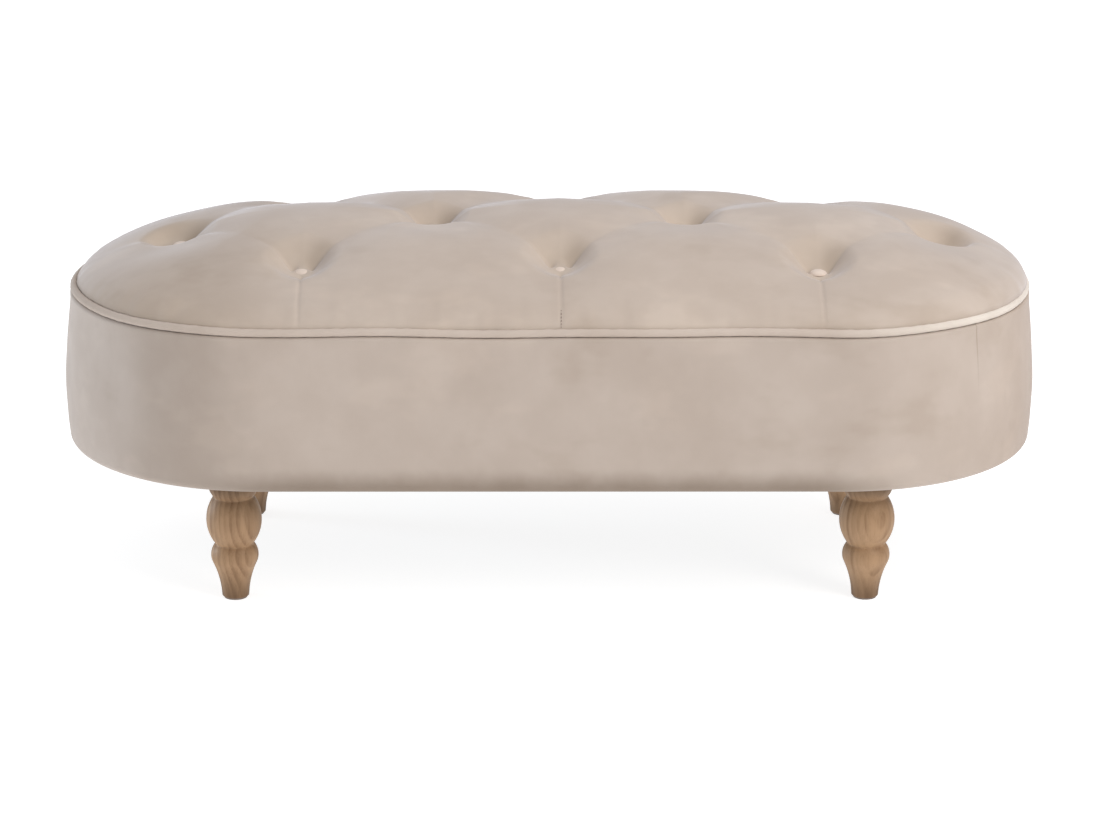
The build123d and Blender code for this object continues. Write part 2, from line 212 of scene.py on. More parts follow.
# Each light's name, place, aim, side, power and colour
LIGHTS = (
    ("key", (2.8, -2.6, 2.3), (0, 0, 0.3), 1.7, 53.0, (1.0, 0.94, 0.87)),
    ("fill", (-3.4, 0.9, 0.45), (0, 0, 0.22), 0.8, 44.0, (0.78, 0.89, 1.0)),
    ("top", (1.1, -0.8, 3.3), (0, 0, 0.3), 2.4, 66.0, (0.93, 0.95, 1.0)),
)


def length_property(name, description, default):
    """A size in metres that a user may change."""
    return bpy.props.FloatProperty(name=name, description=description, default=default, unit="LENGTH")


def angle_property(name, description, default):
    """An angle in radians that a user may change."""
    return bpy.props.FloatProperty(name=name, description=description, default=default, subtype="ANGLE")


def number_property(name, description, default):
    """A plain number that a user may change."""
    return bpy.props.FloatProperty(name=name, description=description, default=default)


def colour_property(name, description, default):
    """A colour that a user may change."""
    return bpy.props.FloatVectorProperty(
        name=name, description=description, default=default, size=3, subtype="COLOR", min=0, max=1
    )


class CushionSizes(bpy.types.PropertyGroup):
    """Shape of the buttoned cushion."""

    roll: length_property("Edge roll", "Radius of the roll above the piping", 0.055)
    edge_angle: angle_property("Edge angle", "Slope of the cushion at the piping", math.radians(78))
    arch: number_property("Arch", "Share of the crown's rise that is lost at the ends", 0.165)
    tuft_floor: length_property("Tuft floor", "Depth of the velvet round a button under its top", 0.0045)
    tuft_reach: length_property("Tuft reach", "Distance at which a tuft runs out", 0.046)
    fold_sink: length_property("Fold depth", "Depth of a fold halfway between two buttons", 0.0030)
    pillow_rise: length_property("Pillow rise", "Swell of the velvet between the folds", 0.0095)
    front_calm: number_property("Front calm", "Share of the swell that the front pillows lack", 0.62)
    hollow: length_property("Hollow", "Sink of the velvet from an outer button to the piping", 0.0035)
    row_dip: length_property("Row dip", "Sink of the velvet before the middle and rear buttons", 0.006)
    end_fullness: length_property("End fullness", "Rise of the end shoulders over the plain crown", 0.004)
    pleat_sink: length_property("Pleat depth", "Depth of a pleat from an outer button to the piping", 0.0016)
    bulge: length_property("Bulge", "How far the cushion's side swells out over the piping", 0.010)
    pressure: number_property("Pressure", "How hard the filling presses in the simulation", 4.0)
    swell_cap: length_property("Swell limit", "How far the simulation may move the velvet", 0.009)


class BorderSizes(bpy.types.PropertyGroup):
    """Shape of the padded border and the piping."""

    bottom_roll: length_property("Bottom roll", "Radius of the velvet's turn under the base", 0.009)
    bottom_inset: length_property("Bottom inset", "How far the border draws in at the bottom", 0.002)
    belly: length_property("Belly", "How far the border swells low down", 0.0040)
    top_inset: length_property("Top inset", "How far the border draws in under the piping", 0.0045)
    top_tuck: length_property("Top tuck", "How far the border reaches up to the piping", 0.0021)
    wobble: length_property("Piping wobble", "How far the hand sewn piping strays up and down", 0.0011)


class LegSizes(bpy.types.PropertyGroup):
    """Turned profile of a leg, as radii and heights over the floor."""

    foot: length_property("Foot radius", "At the floor", 0.0152)
    bulb: length_property("Bulb radius", "Over the foot", 0.0267)
    bulb_height: length_property("Bulb height", "Where the bulb is widest", 0.0504)
    neck: length_property("Neck radius", "Under the ball", 0.0213)
    neck_height: length_property("Neck height", "Where the bulb and the ball meet", 0.0644)
    ball: length_property("Ball radius", "The widest turn", 0.031)
    ball_height: length_property("Ball height", "Where the ball is widest", 0.090)
    collar: length_property("Collar radius", "Under the seat", 0.0285)
    collar_height: length_property("Collar height", "Where the collar is full", 0.133)


class Finishes(bpy.types.PropertyGroup):
    """Colours of the velvet and the wood."""

    nap_light: colour_property("Velvet, brushed up", "Colour of the lighter nap", (0.530, 0.452, 0.392))
    nap_dark: colour_property("Velvet, brushed down", "Colour of the darker nap", (0.452, 0.374, 0.316))
    wood_light: colour_property("Early wood", "Colour between the grain lines", (0.410, 0.252, 0.137))
    wood_dark: colour_property("Late wood", "Colour of the grain lines", (0.215, 0.118, 0.058))


class StageSizes(bpy.types.PropertyGroup):
    """Camera, floor and sky."""

    distance: length_property("Distance", "Camera's distance along the floor", 4.100)
    aside: length_property("Aside", "Camera's step to the right", 0.0003)
    height: length_property("Height", "Camera over the floor", 1.452)
    pitch: angle_property("Pitch", "Camera's look down", 0.3026)
    turn: angle_property("Turn", "The stool's turn to the camera", 0.0100)
    tilt: angle_property("Tilt", "The camera's tilt to the right", 0.0030)
    lens: number_property("Lens", "Focal length in millimetres", 121.9)
    floor: length_property("Floor", "Side of the floor", 60.0)
    glow: number_property("Floor glow", "Light that the white floor gives off", 0.82)
    sky: number_property("Sky", "Strength of the light from all round", 0.44)


GROUPS = {
    "stool_cushion": CushionSizes,
    "stool_border": BorderSizes,
    "stool_leg": LegSizes,
    "stool_finish": Finishes,
    "stool_stage": StageSizes,
}


# Shader expressions

class Field:
    """A value of a material: arithmetic on it adds Math nodes."""

    def __init__(self, paint, socket):
        self.paint = paint
        self.socket = socket

    def math(self, operation, *others):
        """A Math node on this value and the others."""
        return self.paint.node("ShaderNodeMath", {"operation": operation}, dict(enumerate((self, *others))))

    def __add__(self, other):
        return self.math("ADD", other)

    __radd__ = __add__

    def __mul__(self, other):
        return self.math("MULTIPLY", other)

    __rmul__ = __mul__

    def __sub__(self, other):
        return self.math("SUBTRACT", other)

    def __rsub__(self, other):
        return (self * -1) + other

    def __pow__(self, other):
        return self.math("POWER", other)

    def __abs__(self):
        return self.math("ABSOLUTE")

    def between(self, low, high):
        """0 under low, 1 over high, smooth between."""
        return self.paint.node(
            "ShaderNodeMapRange", {"interpolation_type": "SMOOTHSTEP"}, {0: self, 1: low, 2: high}
        )


def rgba(colour):
    """A colour with full alpha, or a field as it is."""
    return colour if isinstance(colour, Field) else (*colour[:3], 1.0)


class Paint:
    """A procedural material: a Principled shader and the nodes that feed it."""

    def __init__(self, name, **constants):
        self.material = bpy.data.materials.new(name)
        self.material.use_nodes = True
        self.tree = self.material.node_tree
        self.shader = self.tree.nodes["Principled BSDF"]
        for socket, value in constants.items():
            self.shader.inputs[socket.replace("_", " ")].default_value = value
        self.place = self.node("ShaderNodeTexCoord", {}, {}, "Object")

    def node(self, kind, settings, sockets, output=0):
        """Any node: its type, its settings, the values or fields of its sockets, and the output wanted."""
        made = self.tree.nodes.new(kind)
        for setting, value in settings.items():
            setattr(made, setting, value)
        for key, value in sockets.items():
            if isinstance(value, Field):
                self.tree.links.new(value.socket, made.inputs[key])
            else:
                made.inputs[key].default_value = value
        return Field(self, made.outputs[output])

    def axes(self):
        """The three Object coordinates."""
        return [self.node("ShaderNodeSeparateXYZ", {}, {0: self.place}, axis) for axis in "XYZ"]

    def stretched(self, scale, shift=(0, 0, 0)):
        """Object coordinates scaled along each axis and shifted."""
        return self.node(
            "ShaderNodeMapping", {}, {"Vector": self.place, "Location": shift, "Scale": scale}
        )

    def noise(self, scale, detail=2.0, rough=0.5, at=None):
        """Smooth noise round 0.5."""
        sockets = {"Vector": at or self.place, "Scale": scale, "Detail": detail, "Roughness": rough}
        return self.node("ShaderNodeTexNoise", {}, sockets, "Fac")

    def mix(self, share, low, high, blend="MIX"):
        """A colour that goes to another one as share goes to 1, or is multiplied by it."""
        settings = {"data_type": "RGBA", "blend_type": blend}
        return self.node("ShaderNodeMix", settings, {0: share, 6: rgba(low), 7: rgba(high)}, 2)

    def bump(self, height, strength, distance):
        """A normal from a height field."""
        sockets = {"Strength": strength, "Distance": distance, "Height": height}
        return self.node("ShaderNodeBump", {}, sockets)

    def feed(self, **links):
        """Link fields to the shader's sockets."""
        for socket, value in links.items():
            self.tree.links.new(value.socket, self.shader.inputs[socket.replace("_", " ")])
        return self.material


def velvet(name, lift=(1.0, 1.0, 1.0), sheen=0.2, contrast=1.0, painted_light_and_shade=(), hem=None, seam=None, painted_light_attributes=()):
    """Short pile velvet: patches and smudges of nap, a fine pile and a soft sheen at glancing angles.

    `lift` scales the nap's colours and `contrast` the smudges. `painted_light_and_shade` lists stretches
    along X painted lighter or darker to stand for light and shade: where each begins, where it is full,
    and the tint that it gives. `hem` is the height up to which the front and rear runs are painted darker
    as shade, and `seam` the direction round the right end in which a seam stands.
    `painted_light_attributes` names the two attributes that are 1 where a painted highlight lies in a
    button's funnel and where a painted shade lies beside the button.
    """
    finish = bpy.context.scene.stool_finish
    light = [min(c * share, 1.0) for c, share in zip(finish.nap_light, lift)]
    dark = [min(c * share, 1.0) for c, share in zip(finish.nap_dark, lift)]
    paint = Paint(
        name, Roughness=0.92, Sheen_Weight=sheen, Sheen_Roughness=0.45, Specular_IOR_Level=0.12,
        Sheen_Tint=(0.91, 0.92, 1.0, 1.0),
    )
    x, y, z = paint.axes()
    patches = paint.noise(7.0, 3.0, 0.55)
    strokes = paint.noise(26.0, 3.0, 0.6, paint.stretched((0.7, 1.0, 0.6), (3.1, 1.7, 0.4)))
    smudges = paint.noise(15.0, 3.0, 0.62, paint.stretched((0.55, 0.8, 1.0), (7.3, 2.2, 5.1)))
    pile = paint.noise(1500.0, 1.0, 0.6)
    nap = patches.between(0.34, 0.68) * 0.34 + strokes.between(0.36, 0.70) * 0.30 + pile * 0.30 + 0.06
    colour = paint.mix(nap, dark, light)
    rubbed = smudges.between(0.54, 0.72) * contrast
    raised = (1 - smudges.between(0.30, 0.46)) * contrast
    colour = paint.mix(rubbed, colour, RUBBED_TINT, "MULTIPLY")
    colour = paint.mix(raised, colour, RAISED_TINT, "MULTIPLY")
    # Painted light and shade: each stretch along X is lightened or darkened for how light falls there
    for begins, full, tint in painted_light_and_shade:
        share = x.between(begins, full) if begins < full else 1 - x.between(full, begins)
        colour = paint.mix(share, colour, tint, "MULTIPLY")
    if hem is not None:
        # Painted shade along the hem: it frays at its upper edge and runs out where the ends begin
        hem_painted_shade = 1 - (z + strokes * 0.010).between(hem - 0.030, hem)
        hem_painted_shade = hem_painted_shade * (1 - abs(x).between(0.28, 0.42))
        colour = paint.mix(hem_painted_shade, colour, HEM_SHADE_TINT, "MULTIPLY")
    if seam is not None:
        # Distance from the seam's line, which shows in the upper part of the border
        away = abs(y.math("ARCTAN2", x - END_CENTRE) - seam) * HALF_DEPTH
        line = (1 - away.between(0.0003, 0.0014)) * z.between(BORDER_LOW.z + 0.085, BORDER_HIGH.z)
        colour = paint.mix(line, colour, SEAM_TINT, "MULTIPLY")
    if painted_light_attributes:
        stretched, turned = (
            paint.node("ShaderNodeAttribute", {"attribute_name": tuft}, {}, "Fac") for tuft in painted_light_attributes
        )
        # Painted highlight in each button's funnel
        warm = [c * tint for c, tint in zip(light, TUFT_HIGHLIGHT_TINT)]
        colour = paint.mix(stretched * 0.32, colour, warm)
        # Painted shade beside each button, on its side away from the key light
        colour = paint.mix(turned * 0.60, colour, BUTTON_SHADE_TINT, "MULTIPLY")
    height = pile * 0.6 + strokes * 0.8
    return paint.feed(
        Base_Color=colour, Roughness=0.98 - nap * 0.16, Normal=paint.bump(height, 0.20, 0.0006)
    )


def turned_wood(name, centre, turn):
    """Turned wood: growth rings of a tree whose heart lies beside the leg, cut by the turned surface.

    `turn` is the direction from the leg's axis to the heart. The rings fade in and out with darker bands
    along the grain, and the leg darkens at the foot and has painted shade under the seat.
    """
    finish = bpy.context.scene.stool_finish
    paint = Paint(name, Specular_IOR_Level=0.35, Roughness=0.55)
    heart = (centre.x + HEART_AWAY * math.cos(turn), centre.y + HEART_AWAY * math.sin(turn))
    wander = paint.noise(16.0, 2.0, 0.5, paint.stretched((1.0, 1.0, 0.45), (turn, turn * 2, 0)))
    x, y, z = paint.axes()
    across = ((x - heart[0] + z * HEART_LEAN) ** 2 + (y - heart[1]) ** 2) ** 0.5
    ring = ((across + wander * RING_WANDER) * RINGS).math("FRACT")
    late = ring.between(0.10, 0.80) * (1 - ring.between(0.82, 1.0))
    fibre = paint.noise(420.0, 2.0, 0.6, paint.stretched((1.0, 1.0, 0.050)))
    pores = paint.noise(900.0, 1.0, 0.5, paint.stretched((1.0, 1.0, 0.03)))
    bands = paint.noise(75.0, 2.0, 0.5, paint.stretched((1.0, 1.0, 0.06), (turn, 0, 0)))
    shade = late * (0.14 + bands.between(0.34, 0.62) * 0.34)
    shade = shade + fibre.between(0.35, 0.7) * 0.16 + (1 - pores.between(0.3, 0.42)) * 0.2
    shade = shade + bands.between(0.42, 0.66) * 0.24
    tone = paint.noise(14.0, 1.0, 0.5)
    colour = paint.mix(shade, finish.wood_light, finish.wood_dark)
    colour = paint.mix(tone.between(0.3, 0.75) * 0.25, colour, (0.46, 0.30, 0.18))
    colour = paint.mix(1 - z.between(*DARK_FOOT), colour, FOOT_TINT, "MULTIPLY")
    # Painted shade on the collar under the seat
    colour = paint.mix(z.between(*COLLAR_SHADE), colour, COLLAR_SHADE_TINT, "MULTIPLY")
    return paint.feed(
        Base_Color=colour, Roughness=0.50 + shade * 0.16,
        Normal=paint.bump(fibre * 0.5 + pores * 0.5 - late * 0.3, 0.18, 0.0004),
    )


def plain_finish(name, colour, rough=0.7, metal=0.0, grain=60.0):
    """A plain surface with a fine mottle, for what is under or inside the stool."""
    paint = Paint(name, Metallic=metal)
    mottle = paint.noise(grain, 3.0, 0.6)
    dark = [c * 0.82 for c in colour]
    return paint.feed(
        Base_Color=paint.mix(mottle.between(0.3, 0.7), dark, colour), Roughness=rough + mottle * 0.12,
        Normal=paint.bump(mottle, 0.12, 0.0004),
    )


# Surfaces worked out as arrays

def grid_piece(name, points, around=False, along=False):
    """A mesh from a grid of points; `along` closes the first index and `around` the second."""
    rows, columns = points.shape[:2]
    i = np.arange(rows if along else rows - 1)
    j = np.arange(columns if around else columns - 1)
    i, j = (grid.ravel() for grid in np.meshgrid(i, j, indexing="ij"))
    up, right = (i + 1) % rows, (j + 1) % columns
    faces = np.stack([i * columns + j, up * columns + j, up * columns + right, i * columns + right], 1)
    mesh = bpy.data.meshes.new(name)
    mesh.from_pydata(points.reshape(-1, 3).tolist(), [], faces.tolist())
    return finish_piece(name, mesh)


def finish_piece(name, mesh):
    """Join what coincides, turn the faces outwards, smooth them and link the piece."""
    shape = bmesh.new()
    shape.from_mesh(mesh)
    bmesh.ops.remove_doubles(shape, verts=shape.verts, dist=1e-6)
    bmesh.ops.dissolve_degenerate(shape, edges=shape.edges, dist=1e-7)
    bmesh.ops.recalc_face_normals(shape, faces=shape.faces)
    shape.to_mesh(mesh)
    shape.free()
    mesh.shade_smooth()
    piece = bpy.data.objects.new(name, mesh)
    bpy.context.scene.collection.objects.link(piece)
    return piece


def dress(piece, slot, material, *nodes):
    """Give a piece its material and let it stand for its nodes; `slot` is not used."""
    piece.data.materials.clear()
    piece.data.materials.append(material)
    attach(piece, BODY)
    if nodes:
        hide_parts(*nodes)
    return piece


def oval_walk(run_step, end_steps):
    """Points of the middle line and the outward directions round the oval, front run first.

    Along a run the point moves and the direction stays; round an end the point stays at the end's
    centre and the direction turns through half a circle.
    """
    run = np.arange(-END_CENTRE, END_CENTRE - run_step / 2, run_step)
    turn = np.linspace(-math.pi / 2, math.pi / 2, end_steps, endpoint=False)
    ones = np.ones_like
    x = np.concatenate([run, END_CENTRE * ones(turn), -run, -END_CENTRE * ones(turn)])
    nx = np.concatenate([0 * run, np.cos(turn), 0 * run, -np.cos(turn)])
    ny = np.concatenate([-ones(run), np.sin(turn), ones(run), -np.sin(turn)])
    return x, nx, ny


def carry(walk, out, height):
    """Carry a profile round the oval: each point lies `out` from the middle line at `height`.

    Both are arrays of (places round the oval, points of the profile).
    """
    x, nx, ny = (part[:, None] for part in walk)
    return np.stack([x + nx * out, ny * out, np.broadcast_to(height, out.shape)], 2)


def full_turn(steps):
    """Angles of a full turn in equal steps, as a column."""
    return np.linspace(0, 2 * math.pi, steps, endpoint=False)[:, None]


def turned_surface(axis, out, height, angle):
    """An outline turned round a vertical axis: its points lie `out` from it at `height`, at each angle."""
    height = np.broadcast_to(height, out.shape)
    return np.stack([axis.x + out * np.cos(angle), axis.y + out * np.sin(angle), height], 2)


def smooth(value, low, high):
    """0 under low, 1 over high, smooth between."""
    share = np.clip((value - low) / (high - low), 0, 1)
    return share * share * (3 - 2 * share)


def ripple(seed, phase, waves):
    """A smooth closed wave round the oval: sines of whole numbers of turns with seeded phases."""
    random = np.random.default_rng(seed)
    total = np.zeros_like(phase)
    for turns in waves:
        total = total + np.sin(turns * phase + random.uniform(0, 2 * math.pi)) * random.uniform(0.5, 1.0)
    return total / math.sqrt(len(waves))


def seam_sway(phase, sizes):
    """How far the hand sewn seam under the piping strays up and down round the oval."""
    return sizes.wobble * ripple(2, phase, (5, 8, 13))


def crown_height(x, y, sizes):
    """Height over the deck of the plain crown at plan points x, y.

    A cut across it is a roll at the edge that runs into one flat arc. Its rise falls off with the square
    of the distance from the middle, and all but its edge lies as far to one side as the buttons do.
    """
    share = np.minimum(out_from_middle(x, y) / SEAT_EDGE, 1)
    x = x - TUFT_SHIFT * (1 - share ** 8)
    out = out_from_middle(x, y)
    rise = SEAT_HIGH.z - SEAT_LOW.z
    roll_out = SEAT_EDGE - sizes.roll * math.sin(sizes.edge_angle)
    roll_low = -sizes.roll * math.cos(sizes.edge_angle)
    over = rise - roll_low
    crown = (roll_out ** 2 + over ** 2 - sizes.roll ** 2) / (2 * (over - sizes.roll))
    touch = roll_out * crown / (crown - sizes.roll)
    flat = rise - crown + np.sqrt(np.maximum(crown ** 2 - out ** 2, 0))
    rolled = roll_low + np.sqrt(np.maximum(sizes.roll ** 2 - (out - roll_out) ** 2, 0))
    return np.where(out <= touch, flat, rolled) * (1 - sizes.arch * (x / (END_CENTRE + HALF_DEPTH)) ** 2)


def out_from_middle(x, y):
    """Distance from the middle line, which ends at the two end centres."""
    return np.hypot(np.maximum(np.abs(x) - END_CENTRE, 0), y)


def fold_lines():
    """Pairs of buttons that a fold joins, the outer buttons, and the two at the ends of the middle row.

    The buttons of a pair lie about one pitch apart along X, the end ones more than two from the middle.
    """
    places = list(BUTTON_PLACES.values())
    outer = [p for p in places if abs(p.y) > HALF_ROW]
    inner = [p for p in places if abs(p.y) <= HALF_ROW]
    pitch = min(abs(a.x - b.x) for a in inner for b in outer)
    folds = [(a, b) for a in outer for b in inner if abs(a.x - b.x) < 1.2 * pitch]
    return folds, outer, [p for p in inner if abs(p.x - TUFT_SHIFT) > 2 * pitch]


def button_distance(x, y):
    """Distance in plan from the nearest button."""
    return np.min([np.hypot(x - place.x, y - place.y) for place in BUTTON_PLACES.values()], axis=0)


def turned_nap(x, y):
    """Where shade is painted beside each button: a short streak from it to its right and rear.

    Across and along the streak it runs out as a bell curve does.
    """
    shade = np.zeros_like(x)
    for place in BUTTON_PLACES.values():
        along = (x - place.x + y - place.y) / math.sqrt(2)
        across = (x - place.x - y + place.y) / math.sqrt(2)
        shade_spot = np.exp(-((along - BUTTON_SHADE_LONG) / BUTTON_SHADE_LONG) ** 2 - (across / BUTTON_SHADE_WIDE) ** 2)
        shade = np.maximum(shade, shade_spot)
    return shade


def fold_places(x, y):
    """For each fold between two buttons, the distance from its line and from its nearer button."""
    for a, b in fold_lines()[0]:
        length = math.hypot(b.x - a.x, b.y - a.y)
        ux, uy = (b.x - a.x) / length, (b.y - a.y) / length
        along = np.clip((x - a.x) * ux + (y - a.y) * uy, 0, length)
        across = np.hypot(x - a.x - along * ux, y - a.y - along * uy)
        yield across, np.minimum(along, length - along)


def pleat_places(x, y):
    """For each pleat from an outer button to the piping, the distance from its line and its button."""
    for a in fold_lines()[1]:
        side = math.copysign(1.0, a.y)
        beyond = (y - a.y) * side
        yield np.hypot(x - a.x, np.minimum(beyond, 0)), np.maximum(beyond, 0)


def end_places(x, y):
    """For each end button, the distance from the line that runs from it to the tip, and from the button."""
    for a in fold_lines()[2]:
        side = math.copysign(1.0, a.x)
        beyond = (x - a.x) * side
        yield np.hypot(y - a.y, np.minimum(beyond, 0)), np.maximum(beyond, 0)


def tufted_height(x, y, sizes):
    """Height of the buttoned velvet over the deck at plan points x, y, before its filling presses on it.

    The crown is swollen between the folds and filled out at the shoulders of its two ends. It is lowered
    by a funnel round each button, a soft fold between neighbouring buttons that is deepest near them, a
    short fold from each outer button, with a shallow hollow, to the piping and from each end button to
    the tip, and a dip in front of the middle and rear buttons.
    """
    inset = SEAT_EDGE - out_from_middle(x, y)
    nearest = button_distance(x, y)
    funnel = np.zeros_like(x)
    tuft = np.zeros_like(x)
    for name, place in BUTTON_PLACES.items():
        apart = np.hypot(x - place.x, y - place.y)
        bowl = 1 - smooth(apart, TUFT_CORE, sizes.tuft_reach)
        pit = BOWL_SHARE * bowl + (1 - BOWL_SHARE) * np.exp(-apart / TUFT_TAIL)
        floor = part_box(name)[1].z - sizes.tuft_floor + SUNKEN_BUTTONS.get(name, 0.0) - SEAT_LOW.z
        sink = crown_height(np.array(place.x), np.array(place.y), sizes) - floor
        funnel = np.maximum(funnel, pit)
        tuft = np.maximum(tuft, sink * pit)
    fold = np.zeros_like(x)
    for across, end in fold_places(x, y):
        depth = sizes.fold_sink + SOFT_FOLD.fading(end)
        opening = FOLD_OPENING * smooth(end, 0, FOLD_OPEN_AT)
        fold = np.maximum(fold, depth * SOFT_FOLD.section(across, opening))
        nearest = np.minimum(nearest, across)
    for across, beyond in pleat_places(x, y):
        fold = np.maximum(fold, SOFT_PLEAT.fading(beyond) * SOFT_PLEAT.section(across))
        hollow = smooth(beyond, *HOLLOW_BEGINS) * (1 - smooth(beyond, *HOLLOW_ENDS))
        fold = np.maximum(fold, sizes.hollow * hollow * np.exp(-(across / HOLLOW_WIDE) ** 2))
        nearest = np.minimum(nearest, across + 0.35 * beyond)
    for place in BUTTON_PLACES.values():
        if place.y > -HALF_ROW:
            aside, ahead = (x - place.x) / DIP_WIDE, (y - place.y + DIP_AHEAD) / DIP_LONG
            fold = np.maximum(fold, sizes.row_dip * np.exp(-aside ** 2 - ahead ** 2))
    for across, beyond in end_places(x, y):
        fold = np.maximum(fold, END_FOLD.fading(beyond) * END_FOLD.section(across, 0.1 * beyond))
        nearest = np.minimum(nearest, across + 0.5 * beyond)
    reach = FRONT_REACH + (REAR_REACH - FRONT_REACH) * smooth(y, *REAR_PILLOWS)
    pillow = sizes.pillow_rise * smooth(nearest, 0.0, reach) * smooth(inset, *PILLOW_EDGE)
    pillow = pillow * (1 - END_LOSS * smooth(np.abs(x - TUFT_SHIFT), *PILLOW_ENDS)) * liveliness(y, sizes)
    shoulder = sizes.end_fullness * smooth(np.abs(x), *SHOULDER_ENDS) * (1 - funnel)
    shoulder = shoulder * smooth(inset, *SHOULDER_FOOT) * (1 - smooth(inset, *SHOULDER_TOP))
    sink = tuft + (1 - funnel) * fold
    return crown_height(x, y, sizes) + pillow + shoulder - sink * smooth(inset, *FOLD_EDGE)


def liveliness(y, sizes):
    """Share of its full swell that the velvet has: 1 on the rear pillows, less on the flat front ones."""
    return 1 - sizes.front_calm * (1 - smooth(y, *REAR_SWELL))


def sharp_creases(x, y, sizes):
    """Depth of the sharp creases in the settled velvet: short ones beside each button, and the pleats."""
    depth = np.zeros_like(x)
    for across, end in fold_places(x, y):
        short = SHARP_FOLD.fading(np.maximum(end - CREASE_FULL, 0)) * smooth(end, CREASE_BEGINS, CREASE_FULL)
        depth = np.maximum(depth, short * SHARP_FOLD.section(across))
    for across, beyond in pleat_places(x, y):
        pleat = sizes.pleat_sink + SHARP_PLEAT.fading(beyond)
        pleat = pleat * smooth(beyond, CREASE_BEGINS, CREASE_FULL)
        depth = np.maximum(depth, pleat * SHARP_PLEAT.section(across))
    return depth * smooth(SEAT_EDGE - out_from_middle(x, y), *CREASE_EDGE)


def finer(values, steps, axis, closed=False):
    """Values along one axis with `steps` for each one before, on a smooth cubic through them."""
    values = np.moveaxis(values, axis, 0)
    if closed:
        padded = np.concatenate([values[-1:], values, values[:2]])
        count = len(values) * steps
    else:
        padded = np.concatenate([2 * values[:1] - values[1:2], values, 2 * values[-1:] - values[-2:-1]])
        count = (len(values) - 1) * steps + 1
    place = np.arange(count) / steps
    low = np.minimum(place.astype(int), len(padded) - 4)
    t = (place - low).reshape(-1, *[1] * (values.ndim - 1))
    before, start, end, after = (padded[low + shift] for shift in range(4))
    curve = (
        start
        + t * (end - before) / 2
        + t ** 2 * (before - 2.5 * start + 2 * end - after / 2)
        + t ** 3 * (1.5 * (start - end) + (after - before) / 2)
    )
    return np.moveaxis(curve, 0, axis)


def swell(points, held, pressure, cap):
    """Swell a grid of velvet with a cloth simulation and give back how far each point moved.

    `held` is 1 where a button or a seam holds the velvet and 0 where it is free. The filling presses
    along the surface's normals, gravity is off, and no point moves further than `cap`.
    """
    scene = bpy.context.scene
    piece = grid_piece("velvet_at_rest", points, along=True)
    tree = KDTree(len(piece.data.vertices))
    for vertex in piece.data.vertices:
        tree.insert(vertex.co, vertex.index)
    tree.balance()
    index = np.array([tree.find(point)[1] for point in points.reshape(-1, 3)])
    weights = dict(zip(index.tolist(), held.ravel().tolist()))
    group = piece.vertex_groups.new(name="held")
    for vertex, weight in weights.items():
        group.add([vertex], weight, "REPLACE")
    cloth = piece.modifiers.new("Cloth", "CLOTH")
    cloth.settings.vertex_group_mass = group.name
    cloth.settings.quality = 6
    cloth.settings.use_pressure = True
    cloth.settings.uniform_pressure_force = pressure
    cloth.settings.bending_stiffness = 1.5
    cloth.settings.air_damping = 4.0
    cloth.settings.effector_weights.gravity = 0.0
    cloth.collision_settings.use_collision = False
    for step in range(1, SWELL_FRAMES + 1):
        scene.frame_set(step)
    settled = piece.evaluated_get(bpy.context.evaluated_depsgraph_get())
    flat = np.empty(len(settled.data.vertices) * 3, np.float32)
    settled.data.vertices.foreach_get("co", flat)
    moved = flat.reshape(-1, 3)[index].astype(float).reshape(points.shape) - points
    mesh = piece.data
    bpy.data.objects.remove(piece)
    bpy.data.meshes.remove(mesh)
    scene.frame_set(1)
    length = np.linalg.norm(moved, axis=2, keepdims=True)
    return moved * cap * np.tanh(length / cap) / np.maximum(length, 1e-9)


class Footstool:
    """What every operator of the stool shares."""

    bl_options = {"REGISTER", "UNDO"}


